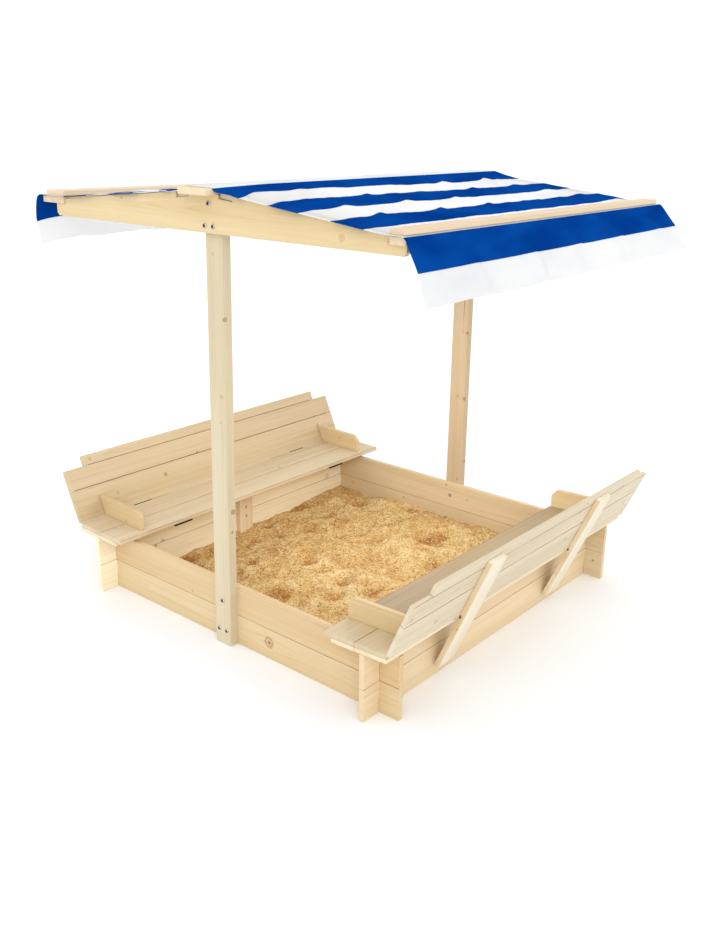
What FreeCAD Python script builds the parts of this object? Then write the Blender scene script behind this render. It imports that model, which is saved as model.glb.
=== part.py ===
"""Child's sandbox with two fold-out bench lids and a striped canopy on two posts.

Frame: millimetres, +Z up, origin on the ground at the centre of the box.  The bench
lids lie along Y, one on the -X side (left) and one on the +X side (right); the posts
stand outside the walls on the -Y side (near) and the +Y side (far).
"""
import FreeCAD, Part
import Sketcher
import os
import re

SIZES = {
    # box
    "wall_face": 538,        # centre to the outer face of a wall
    "wall_thick": 15,
    "board_end": 600,        # centre to the end of a wall board
    "board_high": 90,        # each wall is two boards high
    "sheet_thick": 1,
    "sand_top": 46,
    "cleat_wide": 60,
    "cleat_thick": 18,
    "cleat_low": 3,
    "cleat_high": 172,
    "screw_radius": 4,
    "screw_low": 77,
    "screw_high": 111,
    "screw_proud": 1,
    # posts and their bolts
    "post_wide": 60,
    "post_deep": 26,
    "post_high": 1216,
    "near_foot": -6,         # middle of each post at the ground
    "near_lean": 1.1,        # the near post leans a little toward +X
    "far_foot": -2,
    "far_lean": 0,
    "bolt_radius": 4,
    "bolt_head": 8,
    "bolt_dome": 4,
    "bolt_side": 15,
    "foot_low": 44,
    "foot_high": 135,
    "gable_low": 1153,
    "gable_high": 1206,
    # gable boards
    "gable_thick": 15,
    "gable_half": 618,
    "gable_base": 1136,
    "seat_left": 1169,       # floors of the notches that hold the eave rails
    "seat_right": 1158,
    "gable_step": 576,       # centre to the wall of that notch
    "shoulder_left": 1182,
    "shoulder_right": 1174,
    "gable_clip": 8,         # small cut across each lower corner
    "gable_apex": 1238,      # where the two slopes would meet
    "roof_pitch": 5.553,
    "ridge_half": 50,
    "ridge_seat": 1227,
    "ridge_thick": 16,
    "ridge_near": 617,
    "ridge_far": 590,
    "batten_wide": 48,       # two battens let into the slopes beside the ridge board
    "batten_thick": 14,
    "batten_end": 573,
    "batten_start": 54,
    "batten_room": 0.3,
    # eaves and canopy
    "rail_near": 585,        # how far the rails run each way
    "rail_far": 604,
    "left_dip": 12,          # the left rail is this much lower at the far gable
    "rail_ease": 0.1,
    "rail_thick": 18,
    "rail_left": 98,
    "rail_right": 44,
    "clamp_thick": 13,
    "clamp_left": 79,
    "clamp_right": 40,
    "cloth_thick": 2,
    "cloth_gap": 0.5,
    "cloth_near": 604,
    "cloth_far": 622,
    "cloth_fall": 130,       # centre to where the cloth comes down onto the slopes
    "drop_left": 130,
    "drop_right": 136,
    "flare_left": 3,
    "flare_right": 70,
    # benches
    "bench_tilt_left": 1,    # each bench slopes up a little toward the outside
    "bench_tilt_right": 2,
    "bench_lift_left": 0,
    "bench_lift_right": 3,
    "side_top_left": 2,      # the side walls rise this much above the other two
    "side_top_right": 7,
    "seat_front": 408,
    "ledge_front": 432,
    "ledge_back": 606,
    "ledge_thick": 12,
    "plank_gap": 0.8,
    "bench_half": 600,
    "seat_rise": 1,          # space between ledge and seat
    "seat_thick": 12,
    "arm_place": 508,
    "arm_shift": 5,          # both armrests sit a little toward the far end
    "arm_thick": 15,
    "arm_high": 60,
    "arm_chamfer": 20,
    "arm_back": 604,
    "arm_left": 428,         # centre to the front end of a left armrest
    "arm_right": 411,
    # backrests, measured up the slope from the rear hinge
    "lean": 65,
    "back_thick": 13,
    "back_start": 1.9,
    "back_low": 102,
    "back_mid": 169,
    "back_top": 201.5,
    "top_half": 527,
    "strut_place": 280,
    "strut_wide": 70,
    "strut_thick": 15,
    "strut_up": 191,
    "strut_down": 186,
    "strut_room": 5,         # the ledge is notched this much wider than a strut
    "strut_notch": 64,       # room for the struts to swing through as a lid folds
    # hinges
    "hinge_place": 362,
    "hinge_wide": 70,
    "knuckle": 2.6,
    "pin": 1.25,
    "pin_room": 0.05,
    "leaf_thick": 1,
    "leaf_deep": 24,
    "leaf_short": 8.4,
    "barrel": 23,            # length of the middle barrel
    "barrel_gap": 0.3,
    "hinge_room": 0.5,
    "pin_drop": 0.25,        # the front pins sit this far below the seat
    "pin_gap": 0.4,          # space between a ledge and its front barrels
    "pocket_room": 0.1,
}

doc = FreeCAD.newDocument("sandbox")
sheet = doc.addObject("Spreadsheet::Sheet", "Sizes")
for row, (alias, number) in enumerate(SIZES.items(), start=1):
    sheet.set("A%d" % row, alias.replace("_", " "))
    sheet.set("B%d" % row, str(number))
    sheet.setAlias("B%d" % row, alias)
doc.recompute()

WORD = re.compile(r"[a-z]+(?:_[a-z]+)*")
nodes = []
bench_stand = []             # how the bench being built stands: none, or one placement


def cells(text):
    """Turn the plain aliases in an expression into references to the sheet."""
    return WORD.sub(lambda m: "Sizes." + m.group() if m.group() in SIZES else m.group(), text)


def bind(thing, **expressions):
    for prop, text in expressions.items():
        thing.setExpression(prop.replace("__", "."), cells(str(text)))


def place(thing, x="0", y="0", z="0", turn="0", about="0; 1; 0"):
    base = "vector(%s; %s; %s)" % (x, y, z)
    own = "placement(%s; rotation(vector(%s); %s))" % (base, about, turn)
    thing.setExpression("Placement", cells(" * ".join(bench_stand + [own])))


def new(kind, label=None):
    thing = doc.addObject(kind, label or "Shape")
    if label:
        thing.Label = label
        nodes.append(thing)
    return thing


def box(size, at, label=None, turn="0", about="0; 1; 0"):
    """A block: size and corner as three expressions each, turned about Y or another axis."""
    thing = new("Part::Box", label)
    bind(thing, Length=size[0], Width=size[1], Height=size[2])
    place(thing, *at, turn=turn, about=about)
    return thing


def rod(radius, length, at, toward="Y", label=None):
    thing = new("Part::Cylinder", label)
    bind(thing, Radius=radius, Height=length)
    about = "1; 0; 0" if "Y" in toward else "0; 1; 0"
    turn = "-90" if toward in ("Y", "-X") else "90"
    place(thing, *at, turn=turn, about=about)
    return thing


def fuse(parts, label=None):
    thing = new("Part::MultiFuse", label)
    thing.Shapes = parts
    return thing


def group(parts, label=None):
    thing = new("Part::Compound", label)
    thing.Links = parts
    return thing


def cut(base, tools, label=None):
    thing = new("Part::Cut", label)
    thing.Base = base
    thing.Tool = tools[0] if len(tools) == 1 else group(tools)
    return thing


def outline(sketch, corners):
    """A closed outline of (x, z) expressions in a sketch."""
    count = len(corners)
    for i in range(count):
        start = FreeCAD.Vector(100 * i, 50 * i * i, 0)
        end = FreeCAD.Vector(100 * i + 60, 50 * i * i + 80, 0)
        sketch.addGeometry(Part.LineSegment(start, end), False)
    for i in range(count):
        sketch.addConstraint(Sketcher.Constraint("Coincident", i, 2, (i + 1) % count, 1))
    for i, (x, z) in enumerate(corners):
        for kind, text in (("DistanceX", x), ("DistanceY", z)):
            at_row = sketch.addConstraint(Sketcher.Constraint(kind, -1, 1, i, 1, 10.0))
            sketch.setExpression("Constraints[%d]" % at_row, cells(text))


def profile(label, corners, depth, at, turn="0"):
    """A body padded along +Y from a closed outline of (x, z) expressions."""
    body = new("PartDesign::Body", label)
    plane = [f for f in body.Origin.OriginFeatures if f.Role == "XZ_Plane"][0]
    sketch = body.newObject("Sketcher::SketchObject", "Outline")
    sketch.AttachmentSupport = [(plane, "")]
    sketch.MapMode = "FlatFace"
    outline(sketch, corners)
    pad = body.newObject("PartDesign::Pad", "Pad")
    pad.Profile = sketch
    pad.Reversed = True
    bind(pad, Length=depth)
    place(body, *at, turn=turn)
    return body


def ruled(label, ends):
    """A solid that runs straight from one outline to another: ends are (y, corners)."""
    sketches = []
    for y, corners in ends:
        sketch = new("Sketcher::SketchObject")
        outline(sketch, corners)
        place(sketch, y=y, turn="90", about="1; 0; 0")
        sketches.append(sketch)
    loft = new("Part::Loft", label)
    loft.Sections = sketches
    loft.Solid = True
    loft.Ruled = True
    return loft


def wall(side_name, level_name, level, side, along):
    """One wall board, half-lapped over the boards that cross it at each end."""
    length = "2 * board_end"
    face = "wall_face - wall_thick" if side > 0 else "-wall_face"
    low = "%d * board_high" % level
    laps = []
    for cross in ("-wall_face", "wall_face - wall_thick"):
        corner = (face, cross, low) if along == "Y" else (cross, face, low + " + board_high / 2")
        laps.append(box(("wall_thick", "wall_thick", "board_high / 2"), corner))
    if along == "Y":
        high = "board_high + %d * side_top_%s" % (level, side_name)
        blank = box(("wall_thick", length, high), (face, "-board_end", low))
    else:
        blank = box((length, "wall_thick", "board_high"), ("-board_end", face, low))
        for x, z in foot_bolts(side):
            if (z == "foot_high") == (level == 1):
                laps.append(rod("bolt_radius", "wall_thick", (x, face, z)))
    return cut(blank, laps, "wall_%s_%s" % (side_name, level_name))


def bolt_triangle(side, low, high):
    """Three (x, z) places on the leaning middle line of the post on that side."""
    name = "far" if side > 0 else "near"
    spots = (("0", high), ("-bolt_side", low), ("bolt_side", low))
    return tuple(("%s_foot + %s * tan(%s_lean) + %s" % (name, z, name, x), z) for x, z in spots)


def foot_bolts(side):
    return bolt_triangle(side, "foot_low", "foot_high")


def gable_bolts(side):
    return bolt_triangle(side, "gable_low", "gable_high")


def bolt(x, z, side, inner, outer):
    """A dome-headed bolt through everything from the inner to the outer distance."""
    way, back = ("Y", "-Y") if side > 0 else ("-Y", "Y")
    shank = rod("bolt_radius", "(%s) - (%s)" % (outer, inner), (x, "%d * (%s)" % (side, inner), z), way)
    head = rod("bolt_head", "bolt_dome", (x, "%d * (%s)" % (side, outer), z), way)
    nut = rod("bolt_head - 1", "bolt_dome", (x, "%d * (%s)" % (side, inner), z), back)
    return fuse([shank, head, nut])


def build_box():
    for name, side in (("left", -1), ("right", 1)):
        for level, level_name in enumerate(("lower", "upper")):
            wall(name, level_name, level, side, "Y")
    for name, side in (("near", -1), ("far", 1)):
        for level, level_name in enumerate(("lower", "upper")):
            wall(name, level_name, level, side, "X")
    inside = "wall_face - wall_thick"
    across = "2 * (%s)" % inside
    box((across, across, "sheet_thick"), ("-(%s)" % inside, "-(%s)" % inside, "0"), "ground_sheet")
    screws = []
    notches = []
    for name, side in (("left", -1), ("right", 1)):
        face = "-(%s)" % inside if side < 0 else inside + " - cleat_thick"
        size = ("cleat_thick", "cleat_wide", "cleat_high - cleat_low")
        cleat = box(size, (face, "-cleat_wide / 2", "cleat_low"))
        holes = []
        start = "%d * (%s)" % (side, inside)
        way = "-X" if side > 0 else "X"
        for z in ("screw_low", "screw_high"):
            for rods in (screws, holes):
                rods.append(rod("screw_radius", "cleat_thick + screw_proud", (start, "0", z), way))
        cut(cleat, holes, "wall_cleat_" + name)
        corner = (face, "-cleat_wide / 2", "cleat_low")
        notches.append(box(("cleat_thick", "cleat_wide", "sand_top"), corner))
    group(screws, "cleat_screws")
    corner = ("-(%s)" % inside, "-(%s)" % inside, "sheet_thick")
    block = box((across, across, "sand_top - sheet_thick"), corner)
    for side in (-1, 1):
        start = "%d * (%s)" % (side, inside)
        for x, z in foot_bolts(side)[1:]:
            notches.append(rod("bolt_head - 1", "bolt_dome", (x, start, z), "-Y" if side > 0 else "Y"))
    cut(block, notches, "sand_fill")


def build_posts():
    foot, top = [], []
    for name, side in (("near", -1), ("far", 1)):
        inner = "wall_face" if side > 0 else "-wall_face - post_deep"
        foot_x, lean = name + "_foot", name + "_lean"
        corner = ("%s - post_wide / 2 * cos(%s)" % (foot_x, lean), inner, "post_wide * sin(%s)" % lean)
        blank = box(("post_wide", "post_deep", "post_high"), corner, turn=lean)
        spots = foot_bolts(side) + gable_bolts(side)
        holes = [rod("bolt_radius", "post_deep", (x, inner, z)) for x, z in spots]
        cut(blank, holes, "post_" + name)
        for x, z in foot_bolts(side):
            foot.append(bolt(x, z, side, "wall_face - wall_thick", "wall_face + post_deep"))
        for x, z in gable_bolts(side):
            top.append(bolt(x, z, side, "wall_face", "wall_face + post_deep + gable_thick"))
    group(foot, "post_bolts")
    group(top, "gable_bolts")


def slope_top(x):
    return "(gable_apex - (%s) * tan(roof_pitch))" % x


def gable_outline(dip):
    """A low triangle with a notch at each end for the rail, a flat for the ridge board
    and a sloping notch on each side of it for a batten; the left rail sits lower by a dip."""
    notch_out = "(batten_start + (batten_wide + 2 * batten_room) * cos(roof_pitch))"
    depth = "(batten_thick + batten_room)"
    half = [
        ("gable_half - gable_clip", "gable_base"),
        ("gable_half", "gable_base + gable_clip"),
        ("gable_half", "seat_right"),
        ("gable_step", "seat_right"),
        ("gable_step", "shoulder_right"),
        (notch_out, slope_top(notch_out)),
        ("%s - %s * sin(roof_pitch)" % (notch_out, depth),
         "%s - %s * cos(roof_pitch)" % (slope_top(notch_out), depth)),
        ("batten_start - %s * sin(roof_pitch)" % depth,
         "%s - %s * cos(roof_pitch)" % (slope_top("batten_start"), depth)),
        ("batten_start - %s * sin(roof_pitch)" % depth, "ridge_seat"),
    ]
    mirror = []
    for x, z in reversed(half):
        if "right" in z:
            z = "%s - %s" % (z.replace("right", "left"), dip)
        mirror.append(("-(%s)" % x, z))
    return half + mirror


def build_gables():
    for name, side in (("near", -1), ("far", 1)):
        inner = "wall_face + post_deep"
        start = inner if side > 0 else "-(%s) - gable_thick" % inner
        dip = "left_dip" if side > 0 else "0"
        board = profile(None, gable_outline(dip), "gable_thick", ("0", start, "0"))
        holes = [rod("bolt_radius", "gable_thick", (x, start, z)) for x, z in gable_bolts(side)]
        cut(board, holes, "gable_" + name)


def rail_slope(name):
    """How steeply the rail on one side runs down towards the far gable."""
    return "left_dip / (2 * (wall_face + post_deep))" if name == "left" else "0"


def rail_level(name, y):
    """Height of the underside of a rail at one place along it."""
    gable = "(wall_face + post_deep)"
    return "(seat_%s + rail_ease - (%s + %s) * %s)" % (name, y, gable, rail_slope(name))


def build_eaves():
    for name, side in (("left", -1), ("right", 1)):
        low = rail_level(name, "(-rail_near)")
        over = low + " + rail_thick + cloth_thick + 2 * cloth_gap"
        for kind, z in (("rail", low), ("clamp", over)):
            width = "%s_%s" % (kind, name)
            corner = "gable_step" if side > 0 else "-gable_step - " + width
            size = (width, "rail_near + rail_far", kind + "_thick")
            dip = "-atan(%s)" % rail_slope(name)
            box(size, (corner, "-rail_near", z), "eave_" + width, turn=dip, about="1; 0; 0")
        inner = "(batten_start + batten_room)"
        reach = inner if side > 0 else "(%s + batten_wide * cos(roof_pitch))" % inner
        x = "%d * (%s - batten_thick * sin(roof_pitch))" % (side, reach)
        z = "%s - batten_thick * cos(roof_pitch)" % slope_top(reach)
        size = ("batten_wide", "2 * batten_end", "batten_thick")
        box(size, (x, "-batten_end", z), "ridge_batten_" + name, turn="%d * roof_pitch" % side)
    size = ("2 * ridge_half", "ridge_near + ridge_far", "ridge_thick")
    box(size, ("-ridge_half", "-ridge_near", "ridge_seat"), "ridge_board")


def cloth_side(name, y, lift):
    """The points of one face of the cloth on one side, from the hem up to the ridge."""
    edge = "gable_step + rail_%s + cloth_gap + %s" % (name, lift)
    rail_top = rail_level(name, y) + " + rail_thick + cloth_gap"
    ridge_top = "ridge_seat + ridge_thick + cloth_gap"
    return [
        ("%s + flare_%s" % (edge, name), "%s - drop_%s" % (rail_top, name)),
        (edge, "%s + %s" % (rail_top, lift)),
        ("gable_step - cloth_thick", "%s + %s" % (rail_top, lift)),
        ("cloth_fall", "%s + 2 * cloth_gap + %s" % (slope_top("cloth_fall"), lift)),
        ("ridge_half + cloth_thick", "%s + %s" % (ridge_top, lift)),
    ]


def build_canopy():
    """The cloth as a thin shell: over the ridge board, down two slopes, flat over the
    rails, then a hanging valance on each side."""
    ends = []
    for y in ("-cloth_near", "cloth_far"):
        under, over = [], []
        for lift, face in (("0", under), ("cloth_thick", over)):
            left = [("-(%s)" % x, z) for x, z in cloth_side("left", y, lift)]
            face.extend(left + cloth_side("right", y, lift)[::-1])
        ends.append((y, under + over[::-1]))
    ruled("canopy", ends)


def seat_level(extra="0"):
    return "2 * board_high + ledge_thick + %s" % extra


def leaned(size, side, s, y, depth, label=None):
    """A block on a backrest: size is (up the slope, along Y, thick); s is its start up
    the slope from the rear hinge and depth its start behind the backrest's front face."""
    x0 = "ledge_back + back_start"
    z0 = seat_level("seat_rise + seat_thick - knuckle")
    far = "((%s) - knuckle)" % depth if side < 0 else "((%s) + (%s) - knuckle)" % (depth, size[2])
    x = "%d * (%s + (%s) * cos(lean) + %s * sin(lean))" % (side, x0, s, far)
    z = "%s + (%s) * sin(lean) - %s * cos(lean)" % (z0, s, far)
    turn = "-lean" if side > 0 else "lean - 180"
    return box(size, (x, y, z), label, turn=turn)


def leaned_rod(radius, length, side, y):
    x = "%d * (ledge_back + back_start)" % side
    return rod(radius, length, (x, y, seat_level("seat_rise + seat_thick - knuckle")))


def flat(size, side, x, y, z, label=None):
    """A block whose x is measured outward from the centre on the given side."""
    corner = x if side > 0 else "-(%s) - (%s)" % (x, size[0])
    return box(size, (corner, y, z), label)


HINGES = ("-hinge_place", "hinge_place")
FRONT_PIN = "seat_front - knuckle - pin_gap"
SEAM = "((seat_front + ledge_back) / 2)"
HALF = "(hinge_wide / 2)"
MIDDLE = "(barrel / 2)"


def barrels(kind):
    """(start, length) of a leaf's barrels along the pin: one in the middle or two outside."""
    if kind == "middle":
        return (("-%s" % MIDDLE, "barrel"),)
    length = "%s - %s - barrel_gap" % (HALF, MIDDLE)
    return (("-%s" % HALF, length), ("%s + barrel_gap" % MIDDLE, length))


def stand_bench(name, side):
    """Tilt what is built next about the front lower edge of this side's bench."""
    pivot = "vector(%d * seat_front; 0; 2 * board_high)" % side
    lift = "placement(vector(0; 0; bench_lift_%s); rotation(vector(0; 1; 0); 0))" % name
    turn = "rotation(vector(0; %d; 0); bench_tilt_%s)" % (-side, name)
    bench_stand[:] = [lift, "placement(vector(0; 0; 0); %s; %s)" % (turn, pivot)]


def plank_pair(side, front, low, thick):
    """An inner and an outer plank that meet at the seam, as (inner, outer)."""
    gap = "plank_gap / 2"
    inner = ("%s - %s - %s" % (SEAM, gap, front), "2 * bench_half", thick)
    outer = ("ledge_back - %s - %s" % (SEAM, gap), "2 * bench_half", thick)
    return (flat(inner, side, front, "-bench_half", low),
            flat(outer, side, "%s + %s" % (SEAM, gap), "-bench_half", low))


def build_ledge(name, side):
    low = "2 * board_high"
    inner, outer = plank_pair(side, "ledge_front", low, "ledge_thick")
    axis_x = "%d * (%s)" % (side, FRONT_PIN)
    axis_z = seat_level("seat_rise - pin_drop")
    plate_z = seat_level("-leaf_thick")
    pockets, leaves = [], []
    for centre in HINGES:
        y = "%s - %s" % (centre, HALF)
        plate = ("leaf_deep", "hinge_wide", "leaf_thick")
        pockets.append(flat(plate, side, "ledge_front", y, plate_z))
        parts = [flat(plate, side, "ledge_front", y, plate_z)]
        for start, length in barrels("outer"):
            start = "%s + %s" % (centre, start)
            parts.append(rod("knuckle", length, (axis_x, start, axis_z)))
            tongue = ("ledge_front - (%s)" % FRONT_PIN, length, "leaf_thick")
            parts.append(flat(tongue, side, FRONT_PIN, start, plate_z))
        parts.append(rod("pin", "hinge_wide", (axis_x, y, axis_z)))
        leaves.append(fuse(parts))
    notches = []
    for end in (-1, 1):
        y = "%d * strut_place - strut_wide / 2 - strut_room" % end
        size = ("strut_notch", "strut_wide + 2 * strut_room", "ledge_thick")
        notches.append(flat(size, side, "ledge_back - strut_notch", y, low))
    cut(inner, pockets, "ledge_%s_inner" % name)
    cut(outer, notches, "ledge_%s_outer" % name)
    group(leaves, "front_hinge_fixed_" + name)


def front_leaf(side, centre, low):
    """The seat's leaf of one front hinge, with the bore for its pin."""
    axis_x = "%d * (%s)" % (side, FRONT_PIN)
    axis_z = seat_level("seat_rise - pin_drop")
    plate = ("leaf_deep", "hinge_wide", "leaf_thick")
    parts = [flat(plate, side, "seat_front", "%s - %s" % (centre, HALF), low)]
    bores = []
    for start, length in barrels("middle"):
        start = "%s + %s" % (centre, start)
        tongue = ("knuckle + pin_gap", length, "leaf_thick")
        parts.append(rod("knuckle", length, (axis_x, start, axis_z)))
        parts.append(flat(tongue, side, FRONT_PIN, start, low))
        bores.append(rod("pin + pin_room", length, (axis_x, start, axis_z)))
    return cut(fuse(parts), bores)


def rear_leaf(side, centre, edge, top):
    """The seat's leaf of one rear hinge, with the pin."""
    y = "%s - %s" % (centre, HALF)
    low = "%s - leaf_short" % top
    plate = ("leaf_thick", "hinge_wide", "leaf_short - knuckle - hinge_room")
    parts = [flat(plate, side, edge, y, low)]
    for start, length in barrels("outer"):
        start = "%s + %s" % (centre, start)
        parts.append(leaned_rod("knuckle", length, side, start))
        parts.append(flat(("leaf_thick", length, "leaf_short"), side, edge, start, low))
    parts.append(leaned_rod("pin", "hinge_wide", side, y))
    return fuse(parts)


def build_seat(name, side):
    low = seat_level("seat_rise")
    top = low + " + seat_thick - knuckle"
    edge = "ledge_back - leaf_thick"
    inner, outer = plank_pair(side, "seat_front", low, "seat_thick")
    front_pockets, front_leaves, rear_pockets, rear_leaves = [], [], [], []
    for centre in HINGES:
        y = "%s - %s" % (centre, HALF)
        plate = ("leaf_deep", "hinge_wide", "leaf_thick")
        front_pockets.append(flat(plate, side, "seat_front", y, low))
        front_leaves.append(front_leaf(side, centre, low))
        pocket = ("leaf_thick + pocket_room", "hinge_wide + 2 * hinge_room", "seat_thick")
        y = "%s - hinge_room" % y
        rear_pockets.append(flat(pocket, side, edge + " - pocket_room", y, low))
        rear_leaves.append(rear_leaf(side, centre, edge, top))
    cut(inner, front_pockets, "seat_%s_inner" % name)
    cut(outer, rear_pockets, "seat_%s_outer" % name)
    group(front_leaves, "front_hinge_moving_" + name)
    group(rear_leaves, "rear_hinge_seat_" + name)


def build_arms(name, side):
    low = seat_level("seat_rise + seat_thick")
    front = "arm_" + name
    slant = "arm_high / tan(lean)"
    outline = [
        (front, "0"),
        ("arm_back", "0"),
        ("arm_back + %s" % slant, "arm_high"),
        ("%s + arm_chamfer" % front, "arm_high"),
        (front, "arm_high - arm_chamfer"),
    ]
    if side < 0:
        outline = [("-(%s)" % x, z) for x, z in outline]
    for end_name, end in (("near", -1), ("far", 1)):
        y = "%d * arm_place + arm_shift - arm_thick / 2" % end
        profile("armrest_%s_%s" % (name, end_name), outline, "arm_thick", ("0", y, low))


def build_back(name, side):
    rows = (
        ("lower", "back_start", "back_low", "bench_half"),
        ("middle", "back_low + plank_gap", "back_mid", "bench_half"),
        ("top", "back_mid + plank_gap", "back_top", "top_half"),
    )
    pockets, leaves = [], []
    for centre in HINGES:
        y = "%s - %s" % (centre, HALF)
        pocket = ("leaf_thick + pocket_room", "hinge_wide + 2 * hinge_room", "back_thick")
        pockets.append(leaned(pocket, side, "back_start", "%s - hinge_room" % y, "0"))
        plate = ("leaf_thick", "hinge_wide", "leaf_short - knuckle - hinge_room")
        parts = [leaned(plate, side, "back_start", y, "2 * knuckle + hinge_room")]
        bores = []
        for start, length in barrels("middle"):
            start = "%s + %s" % (centre, start)
            parts.append(leaned_rod("knuckle", length, side, start))
            parts.append(leaned(("leaf_thick", length, "leaf_short"), side, "back_start", start, "knuckle"))
            bores.append(leaned_rod("pin + pin_room", length, side, start))
        leaves.append(cut(fuse(parts), bores))
    for row_name, start, end, half in rows:
        label = "back_%s_%s" % (name, row_name)
        size = ("%s - (%s)" % (end, start), "2 * " + half, "back_thick")
        if row_name == "lower":
            cut(leaned(size, side, start, "-" + half, "0"), pockets, label)
        else:
            leaned(size, side, start, "-" + half, "0", label)
    group(leaves, "rear_hinge_back_" + name)
    size = ("strut_up + strut_down", "strut_wide", "strut_thick")
    for end_name, end in (("near", -1), ("far", 1)):
        y = "%d * strut_place - strut_wide / 2" % end
        leaned(size, side, "-strut_down", y, "back_thick", "strut_%s_%s" % (name, end_name))


def main():
    build_box()
    build_posts()
    build_gables()
    build_eaves()
    build_canopy()
    for name, side in (("left", -1), ("right", 1)):
        stand_bench(name, side)
        build_ledge(name, side)
        build_seat(name, side)
        build_arms(name, side)
        build_back(name, side)
    doc.recompute()
    for thing in doc.Objects:
        bad = [word for word in thing.State if word in ("Invalid", "Error")]
        if bad:
            raise RuntimeError("%s is %s" % (thing.Label, bad))
    os.makedirs("parts", exist_ok=True)
    for thing in nodes:
        shape = thing.Shape
        if shape.isNull() or not shape.isValid() or shape.Volume < 1:
            raise RuntimeError("bad shape in " + thing.Label)
        shape.exportStep("parts/%s.step" % thing.Label)
        print("%-26s solids %d volume %.0f" % (thing.Label, len(shape.Solids), shape.Volume))


main()
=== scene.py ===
"""Looks for the sandbox with fold-out benches and a striped canopy.

Metres, +Z up, the same frame as the CAD model: benches along Y on the -X and +X sides,
posts on the -Y (near) and +Y (far) sides.
"""
import math
import random

import bpy
import numpy as np
from mathutils import Matrix, Vector, noise


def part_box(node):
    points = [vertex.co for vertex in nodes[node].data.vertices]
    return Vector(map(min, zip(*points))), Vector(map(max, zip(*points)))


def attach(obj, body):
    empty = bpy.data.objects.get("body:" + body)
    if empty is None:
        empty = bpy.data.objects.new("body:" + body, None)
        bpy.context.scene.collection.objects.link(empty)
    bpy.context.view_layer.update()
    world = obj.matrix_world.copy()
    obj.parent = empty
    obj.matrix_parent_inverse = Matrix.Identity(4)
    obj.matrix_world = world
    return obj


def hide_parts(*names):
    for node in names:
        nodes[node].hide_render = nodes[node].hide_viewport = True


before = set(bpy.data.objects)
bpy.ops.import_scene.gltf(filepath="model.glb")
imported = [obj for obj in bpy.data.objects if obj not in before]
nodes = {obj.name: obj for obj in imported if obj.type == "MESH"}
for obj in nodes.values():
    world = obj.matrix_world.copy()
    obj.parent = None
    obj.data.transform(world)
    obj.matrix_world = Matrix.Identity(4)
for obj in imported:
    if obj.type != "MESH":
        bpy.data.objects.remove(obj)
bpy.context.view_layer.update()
dice = random.Random(11)

# ---------------------------------------------------------------- small helpers


def srgb(r, g, b):
    """A colour given as it looks on screen, 0 to 255, as linear RGBA."""
    def linear(value):
        value /= 255
        return value / 12.92 if value <= 0.04045 else ((value + 0.055) / 1.055) ** 2.4
    return (linear(r), linear(g), linear(b), 1.0)


class Tree:
    """Shorthand for adding and joining the nodes of one material or node group."""

    def __init__(self, tree):
        self.tree = tree

    def add(self, kind, *links, **settings):
        made = self.tree.nodes.new("ShaderNode" + kind)
        values = settings.pop("values", {})
        for name, value in settings.items():
            setattr(made, name, value)
        for socket, value in zip(made.inputs, links):
            self.put(socket, value)
        for name, value in values.items():
            self.put(made.inputs[name], value)
        return made

    def put(self, socket, value):
        if value is None:
            return
        if isinstance(value, bpy.types.NodeSocket):
            self.tree.links.new(value, socket)
        elif isinstance(value, bpy.types.Node):
            self.tree.links.new(value.outputs[0], socket)
        else:
            socket.default_value = value

    def math(self, operation, *links, clamp=False):
        return self.add("Math", *links, operation=operation, use_clamp=clamp).outputs[0]

    def vector(self, operation, *links):
        made = self.add("VectorMath", operation=operation)
        sockets = [s for s in made.inputs if s.enabled]
        for socket, value in zip(sockets, links):
            self.put(socket, value)
        found = [s for s in made.outputs if s.enabled]
        return found[0]

    def noise(self, where, scale, detail=3.0, rough=0.5):
        """Noise over coordinates stretched by a scale along each axis."""
        spread = self.vector("MULTIPLY", where, scale)
        made = self.add("TexNoise", values={"Vector": spread, "Scale": 1.0, "Detail": detail,
                                            "Roughness": rough})
        return made.outputs["Fac"], made.outputs["Color"]

    def ramp(self, value, *stops, smooth=True):
        """A colour ramp from (position, grey or colour) stops."""
        made = self.add("ValToRGB", value)
        made.color_ramp.interpolation = "EASE" if smooth else "LINEAR"
        points = made.color_ramp.elements
        while len(points) < len(stops):
            points.new(0.5)
        for point, (place, colour) in zip(points, stops):
            point.position = place
            point.color = colour if hasattr(colour, "__len__") else (colour,) * 3 + (1,)
        return made.outputs["Color"]

    def mix(self, share, a, b, way="MIX"):
        made = self.add("Mix", data_type="RGBA", blend_type=way)
        for name, value in (("Factor", share), ("A", a), ("B", b)):
            self.put([s for s in made.inputs if s.enabled and s.name == name][0], value)
        return [s for s in made.outputs if s.enabled][0]

    def span(self, value, low, high, to_low=0.0, to_high=1.0):
        """Value carried from one range to another, smoothly and clamped."""
        made = self.add("MapRange", value, low, high, to_low, to_high)
        made.interpolation_type = "SMOOTHSTEP"
        return made.outputs[0]


def group(name, inputs, outputs):
    """A node group with its sockets; returns (group, Tree, input node, output node)."""
    made = bpy.data.node_groups.new(name, "ShaderNodeTree")
    for socket_name, kind in inputs:
        made.interface.new_socket(socket_name, in_out="INPUT", socket_type="NodeSocket" + kind)
    for socket_name, kind in outputs:
        made.interface.new_socket(socket_name, in_out="OUTPUT", socket_type="NodeSocket" + kind)
    tree = Tree(made)
    return made, tree, made.nodes.new("NodeGroupInput"), made.nodes.new("NodeGroupOutput")


def material(name):
    """A material with its Principled shader: returns (material, Tree, shader)."""
    made = bpy.data.materials.new(name)
    made.use_nodes = True
    shader = made.node_tree.nodes["Principled BSDF"]
    return made, Tree(made.node_tree), shader


def paint(piece, made):
    piece.data.materials.clear()
    piece.data.materials.append(made)


# ---------------------------------------------------------------- wood


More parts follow.
